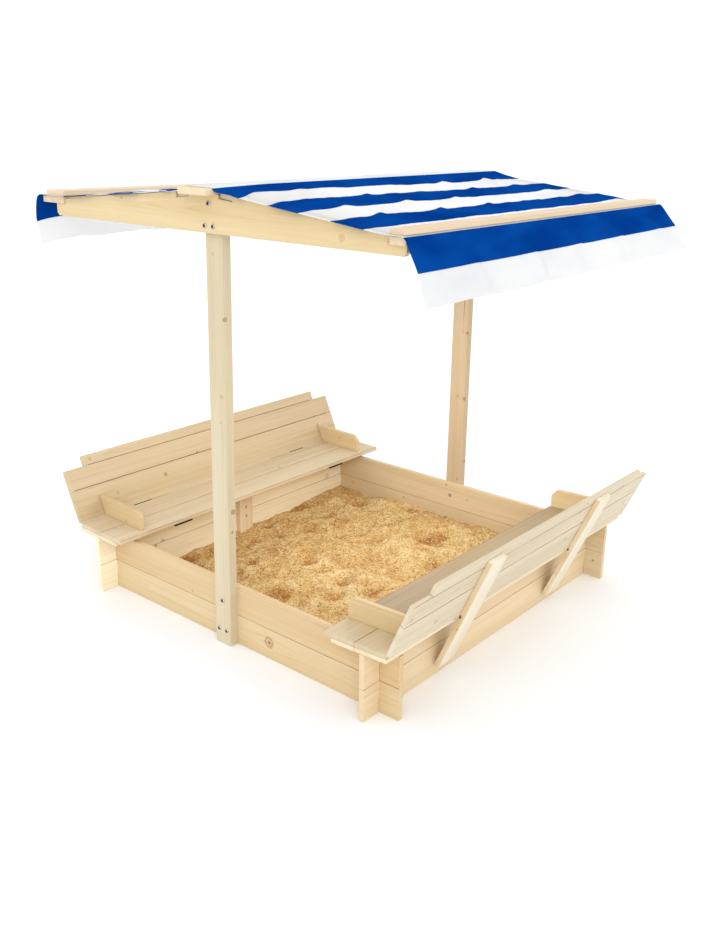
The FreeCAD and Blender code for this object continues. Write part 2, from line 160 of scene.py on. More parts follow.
KNOT_WOBBLE = 0.7            # unevenness of a knot's outline, in radii
KNOT_REACH = (0.42, 1.0, 0.0)    # the bent grain is longer along the board than across
KNOT_FADE = -0.28
KNOT_PUSH = -0.75
KNOT_RINGS = 19.0
RING_DEPTH, RING_BASE = 0.18, 0.55
HEART_DARK = 0.75
RIM_DARK = 0.75


def make_knot_group():
    """Grain that flows round one knot, and the knot's own rings.

    Vector is the place on the board, x along the grain and y across the face. Ball says
    which directions count for the distance from the knot's centre."""
    made, t, given, result = group(
        "Knot",
        (("Vector", "Vector"), ("Centre", "Vector"), ("Radius", "Float"), ("Dark", "Float"),
         ("Mark", "Float"), ("Ball", "Vector")),
        (("Vector", "Vector"), ("Mark", "Float")),
    )
    centre = given.outputs["Centre"]
    radius = given.outputs["Radius"]
    away = t.vector("SUBTRACT", given.outputs["Vector"], centre)
    flat = t.vector("MULTIPLY", away, given.outputs["Ball"])
    wobble, _ = t.noise(given.outputs["Vector"], (90.0, 90.0, 90.0), 2.0)
    far = t.vector("LENGTH", flat)
    far = t.math("ADD", far, t.math("MULTIPLY", t.math("SUBTRACT", wobble, 0.5),
                                    t.math("MULTIPLY", radius, KNOT_WOBBLE)))
    share = t.math("DIVIDE", far, radius)
    # the pull: points beside the knot take the grain from nearer the board's run
    long = t.vector("LENGTH", t.vector("MULTIPLY", away, KNOT_REACH))
    fade = t.math("POWER", t.math("DIVIDE", long, radius), 2.0)
    fade = t.math("EXPONENT", t.math("MULTIPLY", fade, KNOT_FADE))
    side = t.add("SeparateXYZ", away).outputs[1]
    push = t.math("MULTIPLY", t.math("MULTIPLY", side, fade), KNOT_PUSH)
    pushed = t.add("CombineXYZ", 0.0, push, 0.0).outputs[0]
    moved = t.vector("ADD", given.outputs["Vector"], pushed)
    # the mark: a dark rim, a brown heart and rings between them
    inside = t.span(share, 1.0, 0.82)
    rim = t.math("MULTIPLY", t.span(share, 0.7, 0.95), t.span(share, 1.2, 0.98))
    rings = t.math("SINE", t.math("MULTIPLY", share, KNOT_RINGS))
    rings = t.math("MULTIPLY_ADD", rings, RING_DEPTH, RING_BASE)
    heart = t.span(share, 0.42, 0.0)
    heart = t.math("MULTIPLY", heart, HEART_DARK)
    body = t.math("MULTIPLY", t.math("ADD", rings, heart), inside)
    mark = t.math("ADD", body, t.math("MULTIPLY", rim, RIM_DARK))
    mark = t.math("MULTIPLY", mark, given.outputs["Dark"])
    t.put(result.inputs["Vector"], moved)
    t.put(result.inputs["Mark"], t.math("MAXIMUM", mark, given.outputs["Mark"]))
    return made


SEAM_WIDTH = 0.0018
SEAM_SHADE = (0.50, 0.36, 0.24, 1.0)
STRUT_SIDE = (0.93, 0.74, 0.54, 1.0)     # painted shade: a strut's near edge face is darker and warmer than its face
NO_SEAM = 1.0                # metres from the middle, past any board's edge
# which long edges of a board meet another: below it, above it
SEAMS = {"upper": (True, False), "lower": (False, True), "middle": (True, True),
         "top": (True, False), "inner": (True, True), "outer": (True, True)}


def make_wood_group():
    """Planed pale softwood. Vector runs along the grain in x, across the face in y."""
    made, t, given, result = group(
        "Softwood",
        (("Vector", "Vector"), ("Seed", "Vector"), ("Pith", "Vector"), ("Ring", "Float"),
         ("Strength", "Float"), ("Light", "Color"), ("Dark", "Color"), ("Mark", "Float"),
         ("Place", "Vector"), ("Low", "Float"), ("High", "Float"), ("Skin", "Float"),
         ("Shade", "Color")),
        (("Color", "Color"), ("Height", "Float"), ("Roughness", "Float")),
    )
    place = given.outputs["Vector"]
    moved = t.vector("ADD", place, given.outputs["Seed"])
    _, drift = t.noise(moved, (1.3, 7.0, 7.0), 2.0)
    drift = t.vector("MULTIPLY", t.vector("SUBTRACT", drift, (0.5, 0.5, 0.5)), (0.0, 0.016, 0.022))
    bent = t.vector("ADD", place, drift)
    flat = t.vector("MULTIPLY", t.vector("SUBTRACT", bent, given.outputs["Pith"]), (0.0, 1.0, 1.0))
    turns = t.math("DIVIDE", t.vector("LENGTH", flat), given.outputs["Ring"])
    wave = t.math("FRACT", turns)
    late = t.ramp(wave, (0.0, 0.0), (0.5, 0.25), (0.85, 1.0), (1.0, 0.0))
    gone, _ = t.noise(moved, (1.3, 22.0, 22.0), 2.0)
    late = t.math("MULTIPLY", late, t.span(gone, 0.3, 0.62, 0.2, 1.0))
    fibre, _ = t.noise(moved, (7.0, 520.0, 520.0), 3.0, 0.6)
    streak, _ = t.noise(moved, (1.6, 110.0, 110.0), 3.0, 0.6)
    broad, tint = t.noise(moved, (0.9, 13.0, 13.0), 2.0)
    share = t.math("MULTIPLY", late, given.outputs["Strength"])
    share = t.math("MULTIPLY_ADD", t.math("SUBTRACT", fibre, 0.5), 0.5, share)
    share = t.math("MULTIPLY_ADD", t.math("SUBTRACT", streak, 0.5), 1.0, share)
    share = t.math("MULTIPLY_ADD", t.math("SUBTRACT", broad, 0.5), 1.6, share)
    share = t.math("ADD", share, 0.3, clamp=True)
    colour = t.mix(share, given.outputs["Light"], given.outputs["Dark"])
    # short resin dashes, and soft pinkish patches
    dash, _ = t.noise(moved, (34.0, 480.0, 480.0), 1.0)
    dash = t.span(dash, 0.7, 0.76, 0.0, 0.22)
    colour = t.mix(dash, colour, srgb(160, 112, 66))
    hue = t.add("SeparateColor", tint).outputs[1]
    colour = t.mix(t.span(hue, 0.5, 0.7, 0.0, 0.6), colour,
                   t.mix(1.0, colour, (1.0, 0.97, 0.95, 1.0), "MULTIPLY"))
    mark = given.outputs["Mark"]
    ring_colour = t.mix(t.span(mark, 0.35, 1.1), srgb(184, 132, 80), srgb(84, 50, 30))
    colour = t.mix(t.math("MULTIPLY", mark, 1.0, clamp=True), colour, ring_colour)
    # brown lines where a board meets its neighbour, and painted shade over a strut's near edge
    # face
    spot = t.add("SeparateXYZ", given.outputs["Place"])
    across = spot.outputs[1]
    skin = t.span(t.math("SUBTRACT", given.outputs["Skin"], t.math("ABSOLUTE", spot.outputs[2])),
                  SEAM_WIDTH, SEAM_WIDTH * 0.7)
    low = t.span(t.math("SUBTRACT", across, given.outputs["Low"]), SEAM_WIDTH, SEAM_WIDTH * 0.4)
    high = t.span(t.math("SUBTRACT", given.outputs["High"], across), SEAM_WIDTH, SEAM_WIDTH * 0.4)
    worn, _ = t.noise(moved, (9.0, 4.0, 4.0), 2.0)
    worn = t.span(worn, 0.3, 0.7, 0.3, 0.95)
    seam_and_side_shade = t.math("MULTIPLY", t.math("MAXIMUM", low, high), t.math("MULTIPLY", skin, worn))
    shaded = t.mix(1.0, colour, given.outputs["Shade"], "MULTIPLY")
    colour = t.mix(seam_and_side_shade, colour, shaded)
    height = t.math("MULTIPLY_ADD", late, 0.2, t.math("MULTIPLY", fibre, 0.5))
    t.put(result.inputs["Color"], colour)
    t.put(result.inputs["Height"], height)
    t.put(result.inputs["Roughness"], t.span(streak, 0.2, 0.8, 0.5, 0.66))
    return made


# painted shade: the right seat's upper face is darkened between its armrests, where its backrest
# shades it
PAINTED_SHADE_SEAT = "seat_right"
PAINTED_SHADE_HALF = 0.504
PAINTED_SHADE_TONE = (0.61, 0.56, 0.49, 1.0)

knot_group = make_knot_group()
wood_group = make_wood_group()


def grain_of(piece):
    """Board axes as a rotation whose rows run along the grain, across and through."""
    mesh = piece.data
    faces = {}
    for face in mesh.polygons:
        key = tuple(round(abs(c), 2) for c in face.normal)
        area, normal = faces.get(key, (0.0, None))
        faces[key] = (area + face.area, normal or face.normal.copy())
    through = max(faces.values(), key=lambda f: f[0])[1].normalized()
    best, along = 0.0, None
    for edge in mesh.edges:
        a, b = (mesh.vertices[i].co for i in edge.vertices)
        way = b - a
        flat = way - through * way.dot(through)
        axis_like = max(abs(c) for c in flat.normalized()) if flat.length > 1e-6 else 0
        length = flat.length * (1.0 if axis_like > 0.9995 or abs(flat.y) < 1e-6 else 0.2)
        if length > best:
            best, along = length, flat.normalized()
    if max(along) < -min(along):
        along = -along
    if max(through) < -min(through):
        through = -through
    across = through.cross(along)
    return Matrix((along, across, through))


def middle_of(piece):
    points = np.array([v.co for v in piece.data.vertices])
    return Vector((points.min(0) + points.max(0)) / 2)


RING_SIZE = 0.0042           # usual distance between two year rings
RING_STRENGTH = 0.34
LIGHTER = (1.05, 1.06, 1.09)
DARKER = (0.87, 0.81, 0.71)
CRACK_TAPER = 0.05


def wood(piece, tone, knots=()):
    """A board's own wood: its grain runs along it, with knots at (along, across, radius,
    darkness) from its middle, or with a fifth value, the place through the board, for a
    knot that shows on its side. Some of these marks are painted shade drawn as knots."""
    axes = grain_of(piece)
    middle = middle_of(piece)
    made, t, shader = material("wood_" + piece.name)
    here = t.add("TexCoord").outputs["Object"]
    place = t.add("Mapping", here, vector_type="POINT")
    place.inputs["Rotation"].default_value = axes.to_euler()
    place.inputs["Location"].default_value = -(axes @ middle)
    vector, mark = place.outputs[0], 0.0
    for along, across, radius, depth, *through in knots:
        knot = t.add("Group", node_tree=knot_group)
        centre = (along, across, through[0] if through else 0.0)
        ball = (1.0, 1.0, 1.0 if through else 0.0)
        for name, value in (("Vector", vector), ("Centre", centre), ("Radius", radius),
                            ("Dark", depth), ("Mark", mark), ("Ball", ball)):
            t.put(knot.inputs[name], value)
        vector, mark = knot.outputs["Vector"], knot.outputs["Mark"]
    if piece.name in CRACKS:
        start, across, wide = CRACKS[piece.name]
        spot = t.add("SeparateXYZ", place.outputs[0])
        away = t.math("ABSOLUTE", t.math("SUBTRACT", spot.outputs[1], across))
        thin = t.span(away, wide, wide * 0.4)
        line = t.math("MULTIPLY", thin, t.span(spot.outputs[0], start, start + CRACK_TAPER))
        mark = t.math("MAXIMUM", mark, line)
    body = t.add("Group", node_tree=wood_group)
    seed = tuple(dice.uniform(0, 40) for _ in range(3))
    corners = [axes @ (v.co - middle) for v in piece.data.vertices]
    half, skin = (max(abs(c[i]) for c in corners) for i in (1, 2))
    below, above = SEAMS.get(piece.name.split("_")[-1], (False, False))
    if axes[1].z < 0:
        below, above = above, below
    shade = SEAM_SHADE
    # painted shade: a strut's near edge face takes the STRUT_SIDE tone
    if piece.name.startswith("strut"):
        below, above = axes[1].y > 0.5, axes[1].y < -0.5
        skin, shade = 0.0, STRUT_SIDE
    pith = (0.0, dice.uniform(-0.035, 0.035), -dice.uniform(0.02, 0.07))
    light = tuple(min(1.0, c * k) for c, k in zip(tone, LIGHTER)) + (1.0,)
    dark = tuple(c * k for c, k in zip(tone, DARKER)) + (1.0,)
    ring = RING_SIZE * dice.uniform(0.85, 1.3)
    low = -half if below else -NO_SEAM
    high = half if above else NO_SEAM
    for name, value in (("Vector", vector), ("Seed", seed), ("Pith", pith), ("Ring", ring),
                        ("Strength", RING_STRENGTH), ("Light", light), ("Dark", dark),
                        ("Mark", mark), ("Place", place.outputs[0]), ("Low", low),
                        ("High", high), ("Skin", skin), ("Shade", shade)):
        t.put(body.inputs[name], value)
    bump = t.add("Bump", values={"Strength": 0.3, "Distance": 0.0005,
                                 "Height": body.outputs["Height"]})
    colour = body.outputs["Color"]
    # painted shade on the right seat's upper face, between its armrests
    if piece.name.startswith(PAINTED_SHADE_SEAT):
        spot = t.add("SeparateXYZ", place.outputs[0])
        end = t.math("ABSOLUTE", spot.outputs[0])
        seat_shade = t.span(end, PAINTED_SHADE_HALF + 0.008, PAINTED_SHADE_HALF - 0.008)
        seat_shade = t.math("MULTIPLY", seat_shade, t.span(spot.outputs[2], 0.6 * skin, 0.9 * skin))
        colour = t.mix(seat_shade, colour, t.mix(1.0, colour, PAINTED_SHADE_TONE, "MULTIPLY"))
    t.put(shader.inputs["Base Color"], colour)
    t.put(shader.inputs["Roughness"], body.outputs["Roughness"])
    t.put(shader.inputs["Normal"], bump)
    shader.inputs["Specular IOR Level"].default_value = 0.25
    paint(piece, made)


EDGE_WIDTH = 0.0016


def ease_edges(piece):
    """Rounds a CAD part's edges by modifiers, leaving its own mesh as it is."""
    weld = piece.modifiers.new("weld", "WELD")
    weld.merge_threshold = 0.00001
    flat = piece.modifiers.new("flat", "DECIMATE")
    flat.decimate_type = "DISSOLVE"
    flat.angle_limit = math.radians(1)
    bevel = piece.modifiers.new("bevel", "BEVEL")
    bevel.width = EDGE_WIDTH
    bevel.segments = 2
    bevel.limit_method = "ANGLE"
    bevel.angle_limit = math.radians(40)
    bevel.use_clamp_overlap = True
    normals = piece.modifiers.new("normals", "WEIGHTED_NORMAL")
    normals.keep_sharp = True
    piece.data.polygons.foreach_set("use_smooth", [True] * len(piece.data.polygons))


# the tone of each board, and its knots: (along, across, radius, darkness) from its middle,
# with the place through the board as a fifth value for knots on its side
PALE = srgb(232, 214, 182)
WOOD_KINDS = ("wall", "post", "gable", "eave", "ridge", "ledge", "seat", "armrest", "back",
              "strut")
TONES = {
    "wall_near_upper": srgb(217, 191, 148),
    "wall_near_lower": srgb(217, 195, 154),
    "wall_far": srgb(215, 197, 162),
    "wall_left": srgb(251, 239, 209),
    "wall_right": srgb(226, 204, 167),
    "gable": srgb(220, 198, 153),
    "post_near": srgb(210, 197, 166),
    "post_far": srgb(197, 177, 146),
    "back_left": srgb(208, 188, 152),
    "back_right": srgb(217, 206, 180),
    "seat_left": srgb(213, 195, 163),
    "seat_right": srgb(209, 191, 158),
    "eave": srgb(224, 204, 174),
    "strut": srgb(231, 223, 201),
    "armrest": srgb(215, 192, 149),
}
KNOTS_AND_GAP_SHADE = {
    "back_left_top": ((-0.501, 0.015, 0.005, 0.6),),
    "back_left_middle": ((-0.090, -0.030, 0.0036, 1.0), (0.506, -0.032, 0.0034, 1.0)),
    "back_left_lower": ((-0.244, 0.014, 0.0062, 0.9), (0.511, 0.017, 0.0055, 0.7),
                        (-0.442, 0.005, 0.005, 0.5)),
    "back_right_top": ((-0.152, 0.001, 0.003, 0.6), (0.192, 0.003, 0.004, 0.9),
                       (0.430, -0.022, 0.004, 0.8)),
    "back_right_middle": ((-0.583, -0.013, 0.007, 0.5), (0.176, 0.028, 0.003, 0.9),
                          (-0.409, 0.006, 0.005, 0.35)),
    "back_right_lower": ((-0.444, -0.007, 0.006, 0.7), (0.172, 0.015, 0.004, 0.9),
                         (0.544, 0.012, 0.004, 0.8), (0.391, 0.008, 0.004, 0.6)),
    # painted shade: the darkest mark on each strut's side (darkness 1.6) is the dark gap where the
    # strut meets the backrest board, drawn as a knot
    "strut_right_near": ((-0.004, 0.035, 0.0045, 1.6, -0.005), (-0.043, 0.035, 0.003, 0.6, 0.004)),
    "strut_right_far": ((-0.006, 0.035, 0.0045, 1.6, -0.007),),
    "seat_left_outer": ((0.180, -0.040, 0.006, 0.7),),
    "armrest_left_near": ((0.031, 0.020, 0.004, 0.7),),
    "armrest_left_far": ((0.013, -0.006, 0.003, 0.8),),
    "wall_left_upper": ((0.443, -0.037, 0.010, 0.4), (-0.356, -0.043, 0.006, 0.8)),
    "wall_left_lower": ((-0.385, 0.040, 0.005, 0.8),),
    "wall_far_upper": ((-0.020, -0.034, 0.004, 0.8), (0.071, 0.0, 0.004, 0.7)),
    "wall_far_lower": ((-0.459, -0.025, 0.007, 0.4), (-0.210, -0.026, 0.003, 0.9),
                       (0.569, -0.011, 0.004, 0.9)),
    "wall_near_upper": ((-0.163, 0.034, 0.004, 0.6),),
    "wall_near_lower": ((0.150, -0.004, 0.016, 0.7),),
    "post_near": ((0.117, 0.015, 0.006, 0.45), (0.045, 0.008, 0.003, 0.6),
                  (-0.204, 0.030, 0.007, 0.9, 0.005), (-0.262, 0.030, 0.004, 0.9, 0.001),
                  (0.319, 0.030, 0.006, 0.9, -0.009), (0.477, -0.007, 0.004, 0.5)),
    "post_far": ((-0.109, 0.002, 0.005, 0.7), (-0.115, 0.030, 0.006, 1.0, -0.011),
                 (0.117, 0.012, 0.004, 0.6), (0.115, 0.030, 0.005, 1.0, -0.010),
                 (-0.411, 0.018, 0.004, 0.8), (-0.347, 0.030, 0.005, 1.0, 0.008)),
    "gable_near": ((0.441, 0.022, 0.008, 0.4), (0.571, 0.019, 0.006, 0.5),
                   (-0.321, -0.018, 0.003, 0.8)),
}

# drying cracks: (start along the board, across, half width)
CRACKS = {"post_far": (0.13, 0.0125, 0.0012)}


def tone_of(name):
    found = [key for key in TONES if name.startswith(key)]
    return TONES[found[0]] if found else PALE


for name, piece in nodes.items():
    if name.split("_")[0] in WOOD_KINDS and not name.endswith("bolts"):
        wood(piece, tone_of(name)[:3], KNOTS_AND_GAP_SHADE.get(name, ()))
        ease_edges(piece)

# painted shade: narrow dark strips that fill the gaps between neighbouring backrest boards, where
# the gaps are in shade
SHADE_STRIP_DEPTH = 0.006
SHADE_STRIP_BITE = 0.0001         # how far a strip goes into each board
SHADE_STRIP_SHORT = 0.020         # and how far it stops from their ends
SHADE_STRIP_TONE = srgb(132, 98, 67)
JOINTS = (("back_left_lower", "back_left_middle"), ("back_left_middle", "back_left_top"),
          ("back_right_lower", "back_right_middle"), ("back_right_middle", "back_right_top"))


def make_shade_strip(below, above):
    """A dark strip of painted shade in the middle of the boards' thickness, from one board's edge
    to the next.
    """
    axes = grain_of(nodes[below])
    if axes[1].z < 0:
        axes = Matrix((axes[0], -axes[1], axes[2]))
    spans = []
    for name in (below, above):
        points = np.array([axes @ v.co for v in nodes[name].data.vertices])
        spans.append((points.min(0), points.max(0)))
    (low_a, high_a), (low_b, high_b) = spans
    start = max(low_a[0], low_b[0]) + SHADE_STRIP_SHORT
    stop = min(high_a[0], high_b[0]) - SHADE_STRIP_SHORT
    middle = (max(low_a[2], low_b[2]) + min(high_a[2], high_b[2])) / 2
    ends = ((start, stop), (high_a[1] - SHADE_STRIP_BITE, low_b[1] + SHADE_STRIP_BITE),
            (middle - SHADE_STRIP_DEPTH / 2, middle + SHADE_STRIP_DEPTH / 2))
    back = axes.transposed()
    points = [back @ Vector((ends[0][i], ends[1][j], ends[2][k]))
              for i in (0, 1) for j in (0, 1) for k in (0, 1)]
    faces = [(0, 1, 3, 2), (4, 6, 7, 5), (0, 4, 5, 1), (2, 3, 7, 6), (0, 2, 6, 4), (1, 5, 7, 3)]
    mesh = bpy.data.meshes.new("tongue_" + below)
    mesh.from_pydata([p[:] for p in points], [], faces)
    mesh.update()
    piece = bpy.data.objects.new("tongue_" + below, mesh)
    bpy.context.scene.collection.objects.link(piece)
    wood(piece, SHADE_STRIP_TONE[:3])
    side = below.split("_")[1]
    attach(piece, side + "_back")


for below, above in JOINTS:
    make_shade_strip(below, above)

# ---------------------------------------------------------------- steel


def steel(name, tone, rough):
    made, t, shader = material(name)
    here = t.add("TexCoord").outputs["Object"]
    spots, _ = t.noise(here, (900.0, 900.0, 900.0), 3.0)
    colour = t.mix(spots, tuple(c * 0.8 for c in tone[:3]) + (1,), tone)
    t.put(shader.inputs["Base Color"], colour)
    t.put(shader.inputs["Roughness"], t.span(spots, 0.3, 0.7, rough - 0.08, rough + 0.1))
    shader.inputs["Metallic"].default_value = 1.0
    return made


zinc = steel("zinc_steel", srgb(205, 205, 200), 0.3)
dull = steel("dull_steel", srgb(66, 56, 46), 0.6)
# painted shade: a darker steel for the faces inside the bolt heads' sockets
socket = steel("socket_steel", srgb(120, 112, 100), 0.5)
for name, piece in nodes.items():
    if "hinge" in name:
        paint(piece, dull)
    if name.endswith(("bolts", "screws")):
        paint(piece, zinc)


HEAD_RADIUS = 0.0068
HEAD_RISE = 0.0032
SOCKET_RADIUS = 0.0031
SOCKET_DEPTH = 0.0022
SOCKET_RIM = 0.0004          # flat ring between the dome and the socket
HEAD_SUNK = -0.0005          # a head and a nut start this far inside the wood
NODE_HEAD = 0.004            # height of the plain heads in the CAD model


def islands(piece):
    """Middle and half size of each separate part of a node's mesh."""
    mesh = piece.data
    owner = list(range(len(mesh.vertices)))
    seen = {}
    for i, vertex in enumerate(mesh.vertices):
        owner[i] = seen.setdefault(tuple(round(c, 5) for c in vertex.co), i)

    def root(i):
        while owner[i] != i:
            owner[i] = owner[owner[i]]
            i = owner[i]
        return i

    for edge in mesh.edges:
        a, b = (root(i) for i in edge.vertices)
        owner[a] = b
    parts = {}
    for i, vertex in enumerate(mesh.vertices):
        parts.setdefault(root(i), []).append(vertex.co[:])
    for corners in parts.values():
        low, high = np.min(corners, axis=0), np.max(corners, axis=0)
        yield (low + high) / 2, (high - low) / 2


def lathe(rings, count=24):
    """Points and faces turned from (radius, height, sides) rings, closed at both ends."""
    points, faces = [], []
    for radius, height, sides in rings:
        for k in range(count):
            turn = 2 * math.pi * k / count
            wide = radius
            if sides:
                within = (turn % (2 * math.pi / sides)) - math.pi / sides
                wide = radius * math.cos(math.pi / sides) / math.cos(within)
            points.append((wide * math.cos(turn), wide * math.sin(turn), height))
    for row in range(len(rings) - 1):
        for k in range(count):
            after = (k + 1) % count
            faces.append((row * count + k, row * count + after, (row + 1) * count + after,
                          (row + 1) * count + k))
    last = (len(rings) - 1) * count
    faces.append(tuple(last + k for k in range(count)))
    faces.append(tuple(reversed(range(count))))
    return points, faces


def make_bolts(node):
    """Round-headed bolts with a hexagon socket, and a flat nut at the other end."""
    rings = [(HEAD_RADIUS, HEAD_SUNK, 0)]
    flat = SOCKET_RADIUS + SOCKET_RIM
    for k in range(5):
        angle = math.radians(4 + 16 * k)
        wide = flat + (HEAD_RADIUS - flat) * math.cos(angle)
        rings.append((wide, HEAD_RISE * math.sin(angle), 0))
    rings.append((SOCKET_RADIUS, HEAD_RISE, 6))
    rings.append((SOCKET_RADIUS * 0.95, HEAD_RISE - SOCKET_DEPTH, 6))
    head, head_faces = lathe(rings)
    nut, nut_faces = lathe([(HEAD_RADIUS * 0.9, HEAD_SUNK, 0), (HEAD_RADIUS * 0.86, 0.0022, 0),
                            (HEAD_RADIUS * 0.5, 0.003, 0)])
    points, faces, kinds = [], [], []
    for middle, half in islands(nodes[node]):
        outward = 1 if middle[1] > 0 else -1
        for shape, shape_faces, way in ((head, head_faces, outward), (nut, nut_faces, -outward)):
            start = len(points)
            y = middle[1] + way * (half[1] - NODE_HEAD)
            for px, py, pz in shape:
                points.append((middle[0] + px, y + way * pz, middle[2] + py * way))
            for face in shape_faces:
                faces.append([start + i for i in face])
                rim = min(math.hypot(shape[i][0], shape[i][1]) for i in face)
                # faces inside a socket take the darker steel, as painted shade
                kinds.append(1 if shape is head and rim <= SOCKET_RADIUS else 0)
    mesh = bpy.data.meshes.new(node + "_heads")
    mesh.from_pydata(points, [], faces)
    mesh.materials.append(zinc)
    mesh.materials.append(socket)
    mesh.polygons.foreach_set("material_index", kinds)
    mesh.polygons.foreach_set("use_smooth", [True] * len(faces))
    mesh.update()
    piece = bpy.data.objects.new(node + "_heads", mesh)
    bpy.context.scene.collection.objects.link(piece)
    sharp = piece.modifiers.new("sharp", "EDGE_SPLIT")
    sharp.split_angle = math.radians(35)
    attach(piece, "frame")
    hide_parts(node)


make_bolts("post_bolts")
make_bolts("gable_bolts")

# ---------------------------------------------------------------- sand


def gaussian(x, y, cx, cy, wide, long):
    return np.exp(-((x - cx) / wide) ** 2 - ((y - cy) / long) ** 2)


def fractal(points, size, octaves=3):
    """Smooth noise from -1 to 1 at each point, for features of about a size in metres."""
    total = np.zeros(len(points))
    for i, p in enumerate(points):
        total[i] = noise.fractal(Vector(p) / size, 0.9, 2.0, octaves)
    return total


def smooth_step(value, low, high):
    share = np.clip((value - low) / (high - low), 0, 1)
    return share * share * (3 - 2 * share)


def make_grid(name, rows, cols, place):
    """A grid mesh whose points come from place(row index array, column index array)."""
    r, c = np.meshgrid(np.arange(rows), np.arange(cols), indexing="ij")
    points = place(r.ravel(), c.ravel())
    corner = (r[:-1, :-1] * cols + c[:-1, :-1]).ravel()
    faces = np.stack((corner, corner + cols, corner + cols + 1, corner + 1), axis=1)
    mesh = bpy.data.meshes.new(name)
    mesh.from_pydata(points.tolist(), [], faces.tolist())
    mesh.update()
    mesh.polygons.foreach_set("use_smooth", [True] * len(mesh.polygons))
    piece = bpy.data.objects.new(name, mesh)
    bpy.context.scene.collection.objects.link(piece)
    return piece


SAND_HALF = 0.5225
SAND_STEP = 0.0030
GRAINS = 9000
SAND_LEVEL = 0.034           # in the middle, with a slope along X and along Y
SAND_SLOPE_X, SAND_SLOPE_Y = 0.025, 0.027
SAND_FLOOR = 0.004
PIT_RIM = 1.7                # the mound round a pit, to the pit's own size
PIT_RIM_RISE = 1.5           # in pit depths
PIT_FALL = 2.7
# pits left by play: (x, y, half width, half length, depth)
SAND_PITS = (
    (-0.363, 0.427, 0.042, 0.040, 0.017),
    (-0.502, 0.267, 0.034, 0.045, 0.014),
    (-0.465, 0.060, 0.015, 0.020, 0.012),
    (-0.482, -0.282, 0.034, 0.040, 0.012),
    (-0.061, -0.296, 0.055, 0.048, 0.014),
    (0.048, -0.108, 0.050, 0.036, 0.013),
    (0.092, -0.193, 0.034, 0.040, 0.012),
    (-0.146, -0.060, 0.030, 0.030, 0.011),
    (-0.276, -0.044, 0.015, 0.014, 0.009),
    (-0.302, -0.175, 0.030, 0.028, 0.010),
    (-0.083, -0.080, 0.030, 0.030, 0.009),
    (-0.138, 0.490, 0.034, 0.022, 0.014),
    (-0.205, 0.405, 0.012, 0.014, 0.010),
    (0.145, -0.091, 0.040, 0.050, 0.013),
    (0.060, 0.330, 0.060, 0.075, 0.012),
)


def sand_height(x, y):
    """Height of the sand, and its rise over the smooth ground around each point."""
    points = np.stack((x, y, np.zeros_like(x)), axis=1)
    wall = smooth_step(-np.maximum(np.abs(x), np.abs(y)), -SAND_HALF, -SAND_HALF + 0.06)
    ground = SAND_LEVEL + SAND_SLOPE_X * x + SAND_SLOPE_Y * y
    ground = ground + 0.013 * fractal(points, 0.16, 3)
    rise = 0.0085 * fractal(points + 7.3, 0.050, 3)
    rise += 0.0030 * fractal(points + 3.1, 0.012, 2)
    for cx, cy, wide, long, depth in SAND_PITS:
        inside = gaussian(x, y, cx, cy, wide, long)
        rim = gaussian(x, y, cx, cy, PIT_RIM * wide, PIT_RIM * long)
        rise += depth * (PIT_RIM_RISE * rim - PIT_FALL * inside)
    return np.maximum(ground + rise * (0.4 + 0.6 * wall), SAND_FLOOR), rise


def make_sand():
    count = int(2 * SAND_HALF / SAND_STEP)
    relief = {}

    def place(r, c):
        x = -SAND_HALF + 2 * SAND_HALF * c / (count - 1)
        y = -SAND_HALF + 2 * SAND_HALF * r / (count - 1)
        z, relief["rise"] = sand_height(x, y)
        return np.stack((x, y, z), axis=1)

    piece = make_grid("sand_surface", count, count, place)
    piece.data.flip_normals()
    rise = piece.data.attributes.new("rise", "FLOAT", "POINT")
    rise.data.foreach_set("value", relief["rise"])
    made, t, shader = material("sand")
    here = t.add("TexCoord").outputs["Object"]
    base, _ = t.noise(here, (7.0, 7.0, 7.0), 3.0)
    colour = t.mix(t.span(base, 0.32, 0.68), srgb(205, 165, 97), srgb(217, 186, 124))
    # painted shade: brown in the pits; painted highlight: pale on the mounds
    rise = t.add("Attribute", attribute_name="rise").outputs["Fac"]
    colour = t.mix(t.span(rise, 0.001, -0.010, 0.0, 0.85), colour, srgb(161, 101, 41))
    colour = t.mix(t.span(rise, 0.001, 0.010, 0.0, 0.8), colour, srgb(227, 201, 147))
    # patches, from broad to fine
    golden, _ = t.noise(here, (14.0, 14.0, 14.0), 3.0)
    colour = t.mix(t.span(golden, 0.54, 0.68, 0.0, 0.6), colour, srgb(186, 132, 60))
    patch, _ = t.noise(here, (60.0, 60.0, 60.0), 4.0, 0.7)
    colour = t.mix(t.span(patch, 0.5, 0.66, 0.0, 0.6), colour, srgb(185, 128, 62))
    clump, _ = t.noise(here, (120.0, 120.0, 120.0), 4.0, 0.75)
    colour = t.mix(t.span(clump, 0.52, 0.64, 0.0, 0.65), colour, srgb(143, 89, 39))
    colour = t.mix(t.span(clump, 0.46, 0.34, 0.0, 0.6), colour, srgb(231, 213, 168))
    # single grains
    grains = t.add("TexVoronoi", here, feature="F1", values={"Scale": 330.0})
    tint = t.add("SeparateColor", grains.outputs["Color"])
    colour = t.mix(t.span(tint.outputs[0], 0.84, 0.92, 0.0, 0.5), colour, srgb(114, 71, 35))
    colour = t.mix(t.span(tint.outputs[1], 0.76, 0.9, 0.0, 0.45), colour, srgb(227, 204, 157))
    bump = t.add("Bump", values={"Strength": 0.8, "Distance": 0.0014})
    rise = t.math("MULTIPLY_ADD", grains.outputs["Distance"], -1.0, clump)
    t.put(bump.inputs["Height"], rise)
    t.put(shader.inputs["Base Color"], colour)
    t.put(shader.inputs["Normal"], bump)
    shader.inputs["Roughness"].default_value = 0.92
    shader.inputs["Specular IOR Level"].default_value = 0.2
    paint(piece, made)
    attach(piece, "frame")
    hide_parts("sand_fill")


